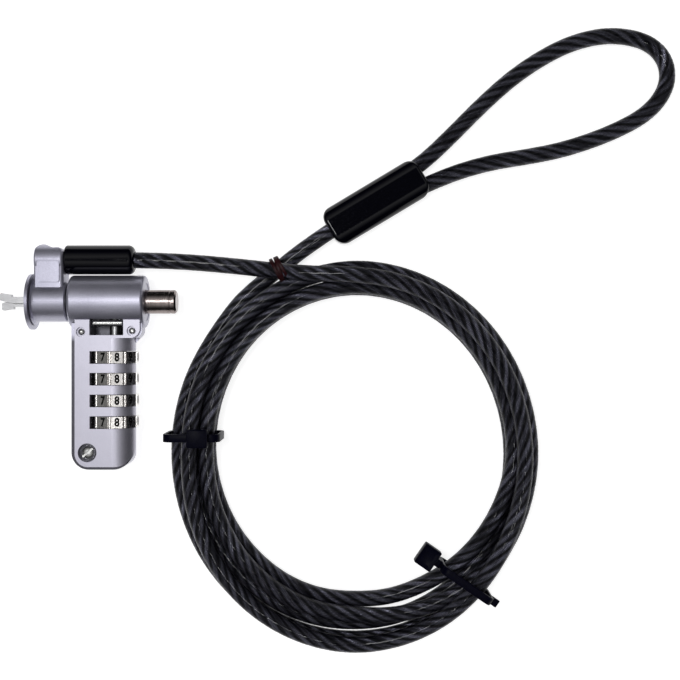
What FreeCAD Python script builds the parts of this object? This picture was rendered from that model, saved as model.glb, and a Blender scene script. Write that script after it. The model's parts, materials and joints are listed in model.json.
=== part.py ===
import FreeCAD, Part
import math
import os

# Laptop cable lock: four-dial combination lock on a swivel collar, with a coiled steel cable.
# Millimetres. +X runs along the barrel towards the push button, +Y from the handle's foot to the
# collar's lug, +Z out of the front. The lock lies on its back. The origin is the middle of the
# lock's own footprint, without the free cable.

os.makedirs("parts", exist_ok=True)
V = FreeCAD.Vector

# ---- driving dimensions -------------------------------------------------------------------
LOCK_WIDTH = 48.5                 # claw tips to the button's end
LOCK_LENGTH = 61.9                # handle's foot to the lug's top
AXIS_Y = 15.0                     # barrel axis
AXIS_Z = 7.8                      # barrel axis and dial axis above the table
CLAW_TIP_X = -LOCK_WIDTH / 2
BUTTON_END_X = LOCK_WIDTH / 2
FOOT_Y = -LOCK_LENGTH / 2
LUG_TOP_Y = LOCK_LENGTH / 2

BARREL_R = 7.3
BARREL_LEFT = -4.9
BARREL_RIGHT = 15.8
BARREL_BORE_R = 5.2
BARREL_LIP = 1.5                  # wall left at the barrel's left end
END_RING_LENGTH = 1.6
END_RING_RECESS = 0.15            # the end ring's face lies this deep in the barrel
SEAL_T = 0.6                      # seal in the end ring's inner recess

CLEAR = 0.3                       # between pieces that move apart

BUTTON_R = 3.3
BUTTON_TRAVEL = 4.0
SPINDLE_TRAVEL = 1.3
CORE_FLANGE_R = 4.9

SHANK_R = 3.95                    # nose tube through the collar
FLANGE_R = 7.7
FLANGE_X = -16.05
FLANGE_T = 0.8
COLLAR_R = 5.5
COLLAR_BORE_R = 4.02
COLLAR_RIGHT = -5.65
COLLAR_FLARE = [(-14.95, 6.5), (-14.8, 6.0), (-14.5, 5.65), (-14.1, COLLAR_R)]
LUG_LEFT = -14.4
LUG_RIGHT = -6.4
LUG_R = 4.33                      # half the lug's thickness, round about the cable's end
NECK_R = 3.9                      # half its thickness between that and the collar
PANEL_X = (-13.4, -7.3)           # raised panel on the lug's front
PANEL_Y = (20.3, 25.9)
PANEL_H = 0.25
STUD_PIN_X = -9.5
PIN_R = 0.78                      # cross pins and their holes
PIN_HOLE_R = 0.8
NOSE_PIN_X = -2.3

BOOT_Y = 26.6                     # cable axis where it leaves the lug
BOOT_R = 4.05
BOOT_LEFT = -6.38
BOOT_RIGHT = 12.65
STUD_R = 2.55

DIAL_X = 7.15                     # dial axis
DIAL_R = 6.67
DIAL_W = 3.1
DIAL_PITCH = 5.9
DIAL_FIRST_Y = -0.3
DIAL_COUNT = 4
DIAL_FACES = 10
DIAL_FACE_ANGLE = 15.6            # first face, turned from +Z towards +X
DIAL_NOTCH_R = 0.55               # finger notch at each corner between faces
SLEEVE_R = 3.1
SLEEVE_BORE_R = 1.6
SLEEVE_HALF = DIAL_W / 2
FIN_T = 0.9
SPINDLE_R = 1.52
FIN_Y = SLEEVE_HALF + SPINDLE_TRAVEL + CLEAR     # a fin's lower face above its dial's middle
RIB_BORE_R = 3.4
POCKET_R = 6.95
WINDOW_H = 3.43
WINDOW_LEFT = -5.85               # from the dial axis

HANDLE_LEFT = -3.95
FRONT_R = 5.65                    # front face and right side, from the dial axis
SPLIT_Z = 12.0                    # where the front cover sits on the housing
COVER_INSET = 0.85                # rim left round the cover at the foot
COVER_INSET_LEFT = 1.2
COVER_TOP_Y = 10.0
EDGE_R = 0.9
EAR_BLOCK_Y = 5.0
EAR_RIGHT = 14.9                  # cover's ear; the housing under it reaches a little further
EAR_BLOCK_RIGHT = 15.2
EAR_BLOCK_BACK_Z = 5.5
BARREL_FOOT_Y = 13.2              # the handle runs this far into the barrel

CROSS_Y = 9.1                     # crosshead bar in the notch
CROSS_Z = 11.2
CROSS_R = 0.9
CROSS_X = (1.95, 9.75)
NOTCH_X = (1.25, 10.45)
NOTCH_FLOOR_Y = 5.75
NOTCH_POCKET = (8.3, 5.0)         # upper side and back of the deep part below the crosshead

RIVETS = ((-1.05, 6.65), (12.75, 6.95))
RIVET_HOLE_R = 0.6
RIVET_BACK_Z = 6.4
RESET_X = 0.65
RESET_Y = -26.2
SPINDLE_FOOT_Y = -22.0
SPRING_FLOOR_Y = -27.0
SPRING_BORE_R = 2.2
DETENT_X = (-0.55, -0.3)          # spring strip beside the dials
DETENT_Y = (-20.6, 2.3)
DETENT_Z = (4.8, 10.8)
LAST_DIAL_Y = DIAL_FIRST_Y - (DIAL_COUNT - 1) * DIAL_PITCH
DIAL_YS = [DIAL_FIRST_Y - i * DIAL_PITCH for i in range(DIAL_COUNT)]

PIVOT_X = -11.0                   # claws' pivot in the nose tube
PIVOT_R = 0.8
EYE_R = 1.7
BLADE_T = 1.75
BLADE_GAP = 0.15                  # each side of the middle plane
HEAD_LEFT = BARREL_LEFT + BARREL_LIP + 0.05
HEAD_RIGHT = -1.0

FLANGE_FACE = BARREL_RIGHT - END_RING_LENGTH - 0.3
CORE_FLANGE_T = 1.1
CONE = (11.4, 3.6, 7.4, 2.1)      # wide end x and radius, narrow end x and radius
SHOULDER_X = 5.4
ROD_R = 1.2

CABLE_D = 4.5
COIL_X = 73.4
COIL_Y = -27.65
COIL_RX = 51.25
COIL_RY = 54.55
COIL_INNER = (75.3, -24.45, 39.65, 40.95)   # centre x, centre y, radius x, radius y
COIL_H = 13.6

LEAD = [(-1.0, BOOT_Y, AXIS_Z), (13.0, BOOT_Y, AXIS_Z), (27.5, 26.05, 7.8), (41.0, 24.8, 8.1),
        (52.5, 23.45, 9.4), (61.5, 22.6, 10.6)]
TAIL = [(39.6, 13.4, 2.9), (45.2, 18.75, 3.0), (51.3, 23.6, 3.1), (57.2, 28.5, 3.3),
        (64.2, 33.4, 3.6), (70.88, 37.75, 3.75)]
EYE = [(86.78, 50.11, 3.75), (93.6, 55.0, 3.6), (101.2, 62.4, 2.9), (109.2, 70.6, 2.3),
       (118.6, 79.0, 2.3), (128.6, 85.4, 2.3), (136.6, 88.8, 2.3), (145.0, 90.4, 2.3),
       (153.2, 89.4, 2.3), (158.4, 86.7, 2.3), (161.4, 82.3, 2.3), (161.7, 77.0, 2.3),
       (159.3, 71.9, 2.3), (154.9, 67.6, 2.3), (148.6, 64.1, 2.3), (141.0, 60.9, 2.3),
       (131.6, 57.9, 2.3), (122.4, 56.1, 2.4), (112.4, 54.5, 2.8), (103.4, 52.0, 3.4),
       (95.8, 49.0, 3.7), (89.25, 46.0, 3.75)]

TIE_W = 2.2                       # nylon ties round the coil
TIE_T = 0.8
TIE_CORNER_R = 2.4
TIE_H = COIL_H + 1.2
LEFT_TIE = (21.1, -22.2, 0.0, 15.6)          # inner end x and y, heading, length across
RIGHT_TIE = (97.0, -57.5, -34.7, 16.6)
CROSS_TIE = (51.2, 23.6, 16.0)    # where the lead passes over the tail, and the band's heading
CROSS_TIE_Z = (3.4, 9.15)         # centres of its lower and upper rounding
CROSS_TIE_R = (2.95, 3.4)         # inside and outside
CROSS_TIE_HALF = 0.9

SLEEVE_CENTRE = V(79.45, 42.9, 3.75)
SLEEVE_ANGLE = 31.0
SLEEVE_LENGTH = 30.5
SLEEVE_W = 11.4
SLEEVE_T = 7.5
FERRULE = (20.0, 10.0, 5.1)       # length, width, thickness of the crimp
FERRULE_EDGE_R = 2.0


# ---- helpers --------------------------------------------------------------------------------
def box(x0, x1, y0, y1, z0, z1):
    return Part.makeBox(x1 - x0, y1 - y0, z1 - z0, V(x0, y0, z0))


def cyl_x(x0, x1, r, y=AXIS_Y, z=AXIS_Z):
    return Part.makeCylinder(r, x1 - x0, V(x0, y, z), V(1, 0, 0))


def cyl_y(y0, y1, r, x=DIAL_X, z=AXIS_Z):
    return Part.makeCylinder(r, y1 - y0, V(x, y0, z), V(0, 1, 0))


def cyl_z(z0, z1, r, x, y):
    return Part.makeCylinder(r, z1 - z0, V(x, y, z0), V(0, 0, 1))


def lathe_x(profile, y=AXIS_Y, z=AXIS_Z):
    """Turns a list of (x, radius) points, closed to the axis, about a line along X."""
    points = [V(x, y, z + r) for x, r in profile]
    points = [V(profile[0][0], y, z)] + points + [V(profile[-1][0], y, z)]
    wire = Part.makePolygon(points + [points[0]])
    return Part.Face(wire).revolve(V(0, y, z), V(1, 0, 0), 360)


def rounded_outline(x0, x1, y0, y1, r_left, r_right, z0, z1):
    """A plate in plan whose two lower corners are rounded."""
    edges = []
    left = V(x0 + r_left, y0 + r_left, z0)
    right = V(x1 - r_right, y0 + r_right, z0)
    edges.append(Part.makeLine(V(x0, y1, z0), V(x0, y0 + r_left, z0)))
    middle = left + V(-r_left * math.sqrt(0.5), -r_left * math.sqrt(0.5), 0)
    edges.append(Part.Arc(V(x0, y0 + r_left, z0), middle, V(x0 + r_left, y0, z0)).toShape())
    edges.append(Part.makeLine(V(x0 + r_left, y0, z0), V(x1 - r_right, y0, z0)))
    middle = right + V(r_right * math.sqrt(0.5), -r_right * math.sqrt(0.5), 0)
    edges.append(Part.Arc(V(x1 - r_right, y0, z0), middle, V(x1, y0 + r_right, z0)).toShape())
    edges.append(Part.makeLine(V(x1, y0 + r_right, z0), V(x1, y1, z0)))
    edges.append(Part.makeLine(V(x1, y1, z0), V(x0, y1, z0)))
    return Part.Face(Part.Wire(edges)).extrude(V(0, 0, z1 - z0))


def prism(points, z0, z1):
    corners = [V(x, y, z0) for x, y in points]
    return Part.Face(Part.makePolygon(corners + [corners[0]])).extrude(V(0, 0, z1 - z0))


def fillet_where(shape, radius, wanted):
    """Rounds the edges whose middle point and direction pass the test."""
    edges = []
    for edge in shape.Edges:
        middle = edge.valueAt((edge.FirstParameter + edge.LastParameter) / 2)
        if wanted(middle, edge):
            edges.append(edge)
    return shape.makeFillet(radius, edges)


def helix_spring(start, axis, length, radius, wire_r, turns):
    """A round-wire spring whose coils run from start along axis."""
    pitch = (length - 2 * wire_r) / turns
    path = Part.makeHelix(pitch, pitch * turns, radius)
    section = Part.Wire(Part.Circle(V(radius, 0, 0), V(0, 1, 0), wire_r).toShape())
    coil = Part.Wire(path).makePipeShell([section], True, True)
    coil.translate(V(0, 0, wire_r))
    coil.Placement = FreeCAD.Placement(start, FreeCAD.Rotation(V(0, 0, 1), axis)) * coil.Placement
    return coil


def arc_radius(before, corner, after):
    first = corner.sub(before)
    second = after.sub(corner)
    turn = first.getAngle(second)
    return 0.45 * min(first.Length, second.Length) / math.tan(turn / 2)


def cord_tube(name, points):
    """Straight runs joined by tangent arcs, with a round section. Prints the arc radii."""
    edges = []
    radii = []
    start = points[0]
    for i in range(1, len(points) - 1):
        before, corner, after = points[i - 1], points[i], points[i + 1]
        inward = before.sub(corner).normalize()
        outward = after.sub(corner).normalize()
        reach = 0.45 * min(corner.distanceToPoint(before), corner.distanceToPoint(after))
        radius = arc_radius(before, corner, after)
        enter = corner + inward * reach
        leave = corner + outward * reach
        bisector = (inward + outward).normalize()
        half_turn = math.atan(reach / radius)
        middle = corner + bisector * (radius / math.cos(half_turn) - radius)
        edges.append(Part.LineSegment(start, enter).toShape())
        edges.append(Part.Arc(enter, middle, leave).toShape())
        radii.append(radius)
        start = leave
    edges.append(Part.LineSegment(start, points[-1]).toShape())
    path = Part.Wire(edges)
    direction = points[1].sub(points[0])
    section = Part.Wire(Part.Circle(points[0], direction, CABLE_D / 2).toShape())
    tube = path.makePipeShell([section], True, False)
    expected = math.pi * (CABLE_D / 2) ** 2 * path.Length
    print(name, "length", round(path.Length, 1), "radii", [round(r, 1) for r in radii])
    print(name, "volume ratio", round(tube.Volume / expected, 4))
    return tube


def save(name, shape):
    solids = shape.Solids
    result = solids[0] if len(solids) == 1 else Part.makeCompound(solids)
    valid = all(s.isValid() and s.Volume > 0 for s in solids)
    print(name, "solids", len(solids), "volume", round(result.Volume, 2), "valid", valid)
    result.exportStep("parts/" + name + ".step")


# ---- handle envelope, housing and cover ---------------------------------------------------
def handle_profile(y0, y1):
    """The handle's section in X and Z: flat back and front, with a round right side."""
    right = DIAL_X + FRONT_R
    back = right - AXIS_Z             # where the round side meets the flat back
    front = AXIS_Z + FRONT_R
    s = math.sqrt(0.5)
    edges = [
        Part.makeLine(V(HANDLE_LEFT, y0, EDGE_R), V(HANDLE_LEFT, y0, front - EDGE_R)),
        Part.Arc(V(HANDLE_LEFT, y0, front - EDGE_R),
                 V(HANDLE_LEFT + EDGE_R * (1 - s), y0, front - EDGE_R * (1 - s)),
                 V(HANDLE_LEFT + EDGE_R, y0, front)).toShape(),
        Part.makeLine(V(HANDLE_LEFT + EDGE_R, y0, front), V(DIAL_X, y0, front)),
        Part.Arc(V(DIAL_X, y0, front), V(DIAL_X + FRONT_R * s, y0, AXIS_Z + FRONT_R * s),
                 V(right, y0, AXIS_Z)).toShape(),
        Part.Arc(V(right, y0, AXIS_Z), V(back + AXIS_Z * s, y0, AXIS_Z * (1 - s)),
                 V(back, y0, 0)).toShape(),
        Part.makeLine(V(back, y0, 0), V(HANDLE_LEFT + EDGE_R, y0, 0)),
        Part.Arc(V(HANDLE_LEFT + EDGE_R, y0, 0),
                 V(HANDLE_LEFT + EDGE_R * (1 - s), y0, EDGE_R * (1 - s)),
                 V(HANDLE_LEFT, y0, EDGE_R)).toShape(),
    ]
    return Part.Face(Part.Wire(edges)).extrude(V(0, y1 - y0, 0))


def handle_envelope():
    body = handle_profile(FOOT_Y, BARREL_FOOT_Y)
    plan = rounded_outline(HANDLE_LEFT, DIAL_X + FRONT_R, FOOT_Y, BARREL_FOOT_Y, 4.7, 5.4, -1, 20)
    return body.common(plan)


def dial_pockets():
    fin_top = DIAL_FIRST_Y + FIN_Y + FIN_T
    cuts = cyl_y(LAST_DIAL_Y - SLEEVE_HALF - CLEAR, fin_top + CLEAR, RIB_BORE_R)
    for y in DIAL_YS:
        half = WINDOW_H / 2
        cuts = cuts.fuse(cyl_y(y - half, y + half, POCKET_R))
        left = DIAL_X + WINDOW_LEFT
        cuts = cuts.fuse(box(left, DIAL_X, y - half, y + half, AXIS_Z + 2.0, 15.0))
    return cuts


def cover_blank(envelope):
    left = HANDLE_LEFT + COVER_INSET_LEFT
    plan = rounded_outline(left, DIAL_X + FRONT_R, FOOT_Y + COVER_INSET, EAR_BLOCK_Y + 1,
                           3.6, 4.6, 0, 20)
    zone = box(-6, 14, FOOT_Y, 11, SPLIT_Z, 15)
    zone = zone.fuse(box(1.0, 14, LAST_DIAL_Y - 3.5, 3.5, AXIS_Z, 15))
    zone = zone.fuse(box(9.5, 14, FOOT_Y, EAR_BLOCK_Y, AXIS_Z, 15))
    plate = envelope.common(plan).common(zone)
    front = AXIS_Z + FRONT_R
    ears = rounded_outline(left, EAR_RIGHT, EAR_BLOCK_Y, COVER_TOP_Y, 0.05, 2.6, SPLIT_Z, front)
    return plate.fuse(ears).removeSplitter()


def make_front_cover(blank):
    cover = blank.cut(cyl_x(-10, 20, BARREL_R + 0.02))
    cover = cover.cut(box(NOTCH_X[0], NOTCH_X[1], NOTCH_FLOOR_Y, 11, 5, 15))
    cover = cover.cut(dial_pockets())
    cover = cover.cut(cyl_y(SPRING_FLOOR_Y, 8, SPINDLE_R + 0.08))
    front = AXIS_Z + FRONT_R
    for x, y in RIVETS:
        cover = cover.cut(cyl_z(front - 1.0, 15, 1.35, x, y))
        cover = cover.cut(cyl_z(10, 15, RIVET_HOLE_R, x, y))
    cover = cover.cut(cyl_z(10, 15, 2.55, RESET_X, RESET_Y))
    return cover


def make_lock_housing(envelope, blank):
    lower = envelope.common(box(-10, 20, FOOT_Y - 1, BARREL_FOOT_Y + 1, -1, SPLIT_Z))
    lower = fillet_where(lower.cut(blank), 1.5, lambda m, e: m.z < 0.01
                         and abs(m.y - BARREL_FOOT_Y) < 0.01)
    right = EAR_BLOCK_RIGHT
    ear = prism([(11.0, 1.9), (right, 6.1), (right, BARREL_FOOT_Y), (11.0, BARREL_FOOT_Y)],
                EAR_BLOCK_BACK_Z, SPLIT_Z)
    ear = fillet_where(ear, 2.2, lambda m, e: abs(m.x - right) < 0.01 and abs(m.y - 6.1) < 0.01)
    ear = fillet_where(ear, 1.2, lambda m, e: m.x > 11.5 and m.z < EAR_BLOCK_BACK_Z + 0.01
                       and m.y < BARREL_FOOT_Y - 0.1)
    ear = ear.cut(box(0, 20, 0, EAR_BLOCK_Y, AXIS_Z, 20))
    barrel = cyl_x(BARREL_LEFT, BARREL_RIGHT, BARREL_R)
    barrel = fillet_where(barrel, 0.8, lambda m, e: abs(m.x - BARREL_RIGHT) < 0.01
                          and e.Curve.TypeId == "Part::GeomCircle")
    barrel = fillet_where(barrel, 0.9, lambda m, e: abs(m.x - BARREL_LEFT) < 0.01
                          and e.Curve.TypeId == "Part::GeomCircle")
    body = barrel.fuse(lower).fuse(ear.cut(blank)).removeSplitter()
    body = body.cut(cyl_x(BARREL_LEFT + BARREL_LIP, 20, BARREL_BORE_R))
    body = body.cut(cyl_x(-6, 0, SHANK_R + 0.05))
    body = body.cut(dial_pockets())
    body = body.cut(box(NOTCH_X[0], NOTCH_X[1], NOTCH_FLOOR_Y, 10.25, CROSS_Z - 1.3, 20))
    body = body.cut(box(*NOTCH_X, NOTCH_FLOOR_Y, *NOTCH_POCKET, CROSS_Z))
    body = body.cut(box(6.1, 8.2, 6.4, 10.25, AXIS_Z, CROSS_Z))
    body = body.cut(cyl_y(6.2, 10.5, SPINDLE_R + CLEAR))
    body = body.cut(cyl_y(SPRING_FLOOR_Y, 8, SPINDLE_R + 0.08))
    body = body.cut(cyl_y(FOOT_Y - 1, SPINDLE_FOOT_Y - 0.35, SPRING_BORE_R))
    body = body.cut(box(DETENT_X[0] - 0.2, 0.45, DETENT_Y[0] - CLEAR, DETENT_Y[1] + CLEAR,
                        DETENT_Z[0] - 0.2, SPLIT_Z))
    body = body.cut(cyl_z(3.0, 20, 1.3, RESET_X, RESET_Y))
    body = body.cut(cyl_z(7.7, 9.9, 2.6, RESET_X, RESET_Y))
    body = body.cut(cyl_z(SPLIT_Z - 0.3, 20, 2.55, RESET_X, RESET_Y))
    for x, y in RIVETS:
        body = body.cut(cyl_z(RIVET_BACK_Z - 0.1, 20, RIVET_HOLE_R, x, y))
    return body.cut(cyl_y(AXIS_Y + 4, AXIS_Y + 8, PIN_HOLE_R, x=NOSE_PIN_X))


# ---- nose, collar and claws -----------------------------------------------------------------
def make_nose_tube():
    tube = cyl_x(FLANGE_X, FLANGE_X + FLANGE_T, 3.2)
    tube = tube.fuse(cyl_x(FLANGE_X + FLANGE_T, HEAD_LEFT, SHANK_R))
    tube = tube.fuse(cyl_x(HEAD_LEFT, HEAD_RIGHT, BARREL_BORE_R - 0.02)).removeSplitter()
    front = box(FLANGE_X - 1, -12.8, AXIS_Y - 1.75, AXIS_Y + 1.75, AXIS_Z - 2.15, AXIS_Z + 2.15)
    rear = box(-13.0, 1, AXIS_Y - 2.3, AXIS_Y + 2.3, AXIS_Z - 2.25, AXIS_Z + 2.25)
    tube = tube.cut(front).cut(rear)
    tube = tube.cut(cyl_z(0, 16, PIVOT_R, PIVOT_X, AXIS_Y))
    return tube.cut(cyl_y(AXIS_Y + 3.2, AXIS_Y + 8, PIN_HOLE_R, x=NOSE_PIN_X))


def make_claw(side):
    """side is +1 for the upper claw, in front, and -1 for the lower claw, behind."""
    tip = CLAW_TIP_X
    tail = -4.4
    hook = [(tip, 0.35), (tip, 2.1), (tip + 0.35, 2.4), (tip + 3.2, 1.95), (tip + 3.2, 1.35)]
    back = [(PIVOT_X, 1.35), (tail, 1.3), (tail, 0.6), (-9.3, 0.45)]
    inside = [(PIVOT_X, -0.4), (tip + 3.4, -0.4), (tip + 0.8, 0.1)]
    outline = hook + back + inside
    points = [(x, AXIS_Y + side * y) for x, y in outline]
    if side > 0:
        z0, z1 = AXIS_Z + BLADE_GAP, AXIS_Z + BLADE_GAP + BLADE_T
    else:
        z0, z1 = AXIS_Z - BLADE_GAP - BLADE_T, AXIS_Z - BLADE_GAP
    blade = prism(points, z0, z1)
    blade = blade.fuse(cyl_z(z0, z1, EYE_R, PIVOT_X, AXIS_Y)).removeSplitter()
    return blade.cut(cyl_z(z0 - 1, z1 + 1, PIVOT_R + 0.06, PIVOT_X, AXIS_Y))


def make_lug():
    """The collar's lug: round about the cable's end, with a waved crest and a raised panel."""
    z1 = AXIS_Z + LUG_R
    bar = cyl_x(LUG_LEFT, LUG_RIGHT, LUG_R, y=BOOT_Y)
    neck = box(LUG_LEFT, LUG_RIGHT, AXIS_Y, BOOT_Y, AXIS_Z - NECK_R, AXIS_Z + NECK_R)
    bar = bar.fuse(neck).removeSplitter()
    bar = fillet_where(bar, 0.5, lambda m, e: abs(m.x - LUG_LEFT) < 0.01 and m.y > AXIS_Y + 1)
    bar = fillet_where(bar, 1.0, lambda m, e: abs(m.x - LUG_RIGHT) < 0.01 and m.y > AXIS_Y + 1)
    top = [V(LUG_LEFT - 0.1, 28.4, -1), V(-13.8, 30.1, -1), V(-12.6, LUG_TOP_Y - 0.02, -1),
           V(-11.0, 30.4, -1), V(-9.4, 29.85, -1), V(-7.7, 29.85, -1), V(-6.9, 29.3, -1),
           V(LUG_RIGHT + 0.1, 28.2, -1)]
    crest = Part.BSplineCurve()
    crest.interpolate(top)
    foot = [V(top[-1].x, 14, -1), V(top[0].x, 14, -1)]
    edges = [crest.toShape(), Part.makeLine(top[-1], foot[0]), Part.makeLine(*foot),
             Part.makeLine(foot[1], top[0])]
    lug = bar.common(Part.Face(Part.Wire(edges)).extrude(V(0, 0, 20)))
    panel = box(*PANEL_X, *PANEL_Y, z1 - 1, z1 + PANEL_H)
    panel = fillet_where(panel, 0.6, lambda m, e: abs(m.z - z1 + (1 - PANEL_H) / 2) < 0.1)
    return lug.fuse(panel).removeSplitter()


def make_swivel_collar():
    body = lathe_x(COLLAR_FLARE + [(COLLAR_RIGHT - 0.3, COLLAR_R), (COLLAR_RIGHT, COLLAR_R - 0.3)])
    body = body.fuse(make_lug()).removeSplitter()
    body = body.cut(cyl_x(-20, 0, COLLAR_BORE_R))
    body = body.cut(cyl_x(-12.5, 0, STUD_R + 0.02, y=BOOT_Y))
    return body.cut(cyl_z(0, AXIS_Z + 2.6, PIN_HOLE_R, STUD_PIN_X, BOOT_Y))


def make_cable_end_stud():
    stud = cyl_x(-12.4, -1.0, STUD_R, y=BOOT_Y)
    return stud.cut(cyl_z(0, AXIS_Z + 2.1, PIN_HOLE_R, STUD_PIN_X, BOOT_Y))


def make_cable_boot():
    boot = cyl_x(BOOT_LEFT, BOOT_RIGHT, BOOT_R, y=BOOT_Y)
    boot = fillet_where(boot, 0.5, lambda m, e: abs(m.x - BOOT_LEFT) < 0.01
                        and e.Curve.TypeId == "Part::GeomCircle")
    boot = fillet_where(boot, 1.7, lambda m, e: abs(m.x - BOOT_RIGHT) < 0.01
                        and e.Curve.TypeId == "Part::GeomCircle")
    boot = boot.cut(cyl_x(BOOT_LEFT - 1, -1.0, STUD_R + 0.02, y=BOOT_Y))
    return boot.cut(cyl_x(-2, BOOT_RIGHT + 1, CABLE_D / 2 + 0.02, y=BOOT_Y))


# ---- plunger, spindle and dials -------------------------------------------------------------
def make_plunger_core():
    core = lathe_x([(0.5, ROD_R), (SHOULDER_X, ROD_R), (SHOULDER_X, 3.2), (SHOULDER_X + 0.4, 3.2),
                    (SHOULDER_X + 0.4, CONE[3]), (CONE[2], CONE[3]), (CONE[0], CONE[1]),
                    (FLANGE_FACE - CORE_FLANGE_T, CONE[1]),
                    (FLANGE_FACE - CORE_FLANGE_T, CORE_FLANGE_R),
                    (FLANGE_FACE, CORE_FLANGE_R), (FLANGE_FACE, 1.45), (19.0, 1.45)])
    tongue = prism([(-4.9, AXIS_Y - 0.25), (-0.9, AXIS_Y - 0.65), (1.5, AXIS_Y - 0.65),
                    (1.5, AXIS_Y + 0.65), (-0.9, AXIS_Y + 0.65), (-4.9, AXIS_Y + 0.25)],
                   AXIS_Z - 1.8, AXIS_Z + 1.8)
    tongue = tongue.common(cyl_x(-6, 2, 1.9))
    return core.fuse(tongue).removeSplitter()


def make_push_button():
    tip = BUTTON_END_X
    button = lathe_x([(FLANGE_FACE, BUTTON_R), (tip - 1.9, BUTTON_R), (tip - 1.8, BUTTON_R - 0.1),
                      (tip - 1.6, BUTTON_R - 0.1), (tip - 1.5, BUTTON_R), (tip - 0.5, BUTTON_R),
                      (tip, BUTTON_R - 0.5)])
    return button.cut(cyl_x(10, 19.05, 1.47))


def make_locking_spindle():
    body = cyl_y(SPINDLE_FOOT_Y, 11.2, SPINDLE_R)
    tip = Part.makeCone(SPINDLE_R, 0.5, 1.2, V(DIAL_X, 11.2, AXIS_Z), V(0, 1, 0))
    web = box(DIAL_X - 0.7, DIAL_X + 0.7, CROSS_Y - 0.8, CROSS_Y + 0.8, AXIS_Z, CROSS_Z)
    body = body.fuse([tip, web]).removeSplitter()
    return body.cut(cyl_x(CROSS_X[0], CROSS_X[1], CROSS_R, y=CROSS_Y, z=CROSS_Z))


def make_gate_fins():
    fins = []
    for y in DIAL_YS:
        bottom = y + FIN_Y
        fin = box(DIAL_X - 0.5, DIAL_X + 0.5, bottom, bottom + FIN_T, AXIS_Z + 0.5, AXIS_Z + 2.55)
        fins.append(fin.cut(cyl_y(bottom - 1, bottom + 3, SPINDLE_R)))
    return Part.makeCompound(fins)


def make_dial_ring(y):
    step = 360 / DIAL_FACES
    corners = []
    for i in range(DIAL_FACES + 1):
        a = math.radians(DIAL_FACE_ANGLE + step * (i + 0.5))
        corner_x = DIAL_X + DIAL_R * math.sin(a)
        corners.append(V(corner_x, y - DIAL_W / 2, AXIS_Z + DIAL_R * math.cos(a)))
    ring = Part.Face(Part.makePolygon(corners)).extrude(V(0, DIAL_W, 0))
    for corner in corners[:-1]:
        ring = ring.cut(cyl_y(y - DIAL_W, y + DIAL_W, DIAL_NOTCH_R, x=corner.x, z=corner.z))
    return ring.cut(cyl_y(y - DIAL_W, y + DIAL_W, SLEEVE_R + 0.02))


def make_dial_sleeve(y):
    sleeve = cyl_y(y - SLEEVE_HALF, y + SLEEVE_HALF, SLEEVE_R)
    sleeve = sleeve.cut(cyl_y(y - 3, y + 3, SLEEVE_BORE_R))
    return sleeve.cut(box(DIAL_X - 0.8, DIAL_X + 0.8, y - 3, y + 3, AXIS_Z, AXIS_Z + 2.85))


def make_detent_spring():
    strip = box(*DETENT_X, *DETENT_Y, *DETENT_Z)
    bumps = []
    for y in DIAL_YS:
        bump = cyl_y(y - 1.0, y + 1.0, 0.5, x=DETENT_X[1], z=AXIS_Z)
        bumps.append(bump.common(box(DETENT_X[0] + 0.1, 0.15, y - 2, y + 2, 0, 16)))
    strip = strip.fuse(bumps).removeSplitter()
    for y in DIAL_YS[:-1]:
        gap = y - DIAL_PITCH / 2
        strip = strip.cut(box(-1, 1, gap - 0.3, gap + 0.3, 6.0, 12))
    return strip


def make_reset_screw():
    front = AXIS_Z + FRONT_R
    head_z = SPLIT_Z - 0.25
    dome = Part.makeSphere(2.6, V(RESET_X, RESET_Y, front - 2.6 + 0.15))
    head = cyl_z(head_z, front + 1, 2.1, RESET_X, RESET_Y).common(dome)
    shaft = cyl_z(4.0, head_z + 0.5, 1.22, RESET_X, RESET_Y)
    slot = box(RESET_X - 3, RESET_X + 3, RESET_Y - 0.3, RESET_Y + 0.3, front - 0.55, front + 1)
    slot.rotate(V(RESET_X, RESET_Y, 0), V(0, 0, 1), 40)
    screw = head.fuse(shaft).removeSplitter().cut(slot)
    return screw.cut(cam_disc().cut(cyl_z(0, 20, 0.9, RESET_X, RESET_Y)))


def cam_disc():
    disc = cyl_z(8.0, 9.6, 1.9, RESET_X + 0.3, RESET_Y)
    return disc.common(cyl_z(8.0, 9.6, 2.25, RESET_X, RESET_Y))


def make_reset_cam():
    return cam_disc().cut(cyl_z(0, 20, 0.9, RESET_X, RESET_Y))


# ---- cable, coil, ties and end loop ---------------------------------------------------------
def vectors(points):
    return [V(*p) for p in points]


def ellipse_prism(x, y, rx, ry, z0, z1):
    if ry > rx:
        ellipse = Part.Ellipse(V(x, y + ry, z0), V(x - rx, y, z0), V(x, y, z0))
    else:
        ellipse = Part.Ellipse(V(x + rx, y, z0), V(x, y + ry, z0), V(x, y, z0))
    return Part.Face(Part.Wire(ellipse.toShape())).extrude(V(0, 0, z1 - z0))


def make_coil():
    outer = ellipse_prism(COIL_X, COIL_Y, COIL_RX, COIL_RY, 0, COIL_H)
    inner = ellipse_prism(*COIL_INNER, -1, COIL_H + 1)
    ring = outer.cut(inner)
    return ring.makeChamfer(1.8, ring.Edges)


def frame_loop(length, height, width, thickness, radius):
    """A strap bent into an upright rounded frame: along X, across Y, from z = 0 up."""
    outer = box(0, length, -width / 2, width / 2, 0, height)
    outer = fillet_where(outer, radius, lambda m, e: abs(m.y) < 0.01)
    t = thickness
    inner = box(t, length - t, -width, width, t, height - t)
    inner = fillet_where(inner, radius - t, lambda m, e: abs(m.y) < 0.01)
    return outer.cut(inner), outer


def placed(shape, x, y, angle):
    copy = shape.copy()
    copy.rotate(V(0, 0, 0), V(0, 0, 1), angle)
    copy.translate(V(x, y, 0))
    return copy


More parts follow.
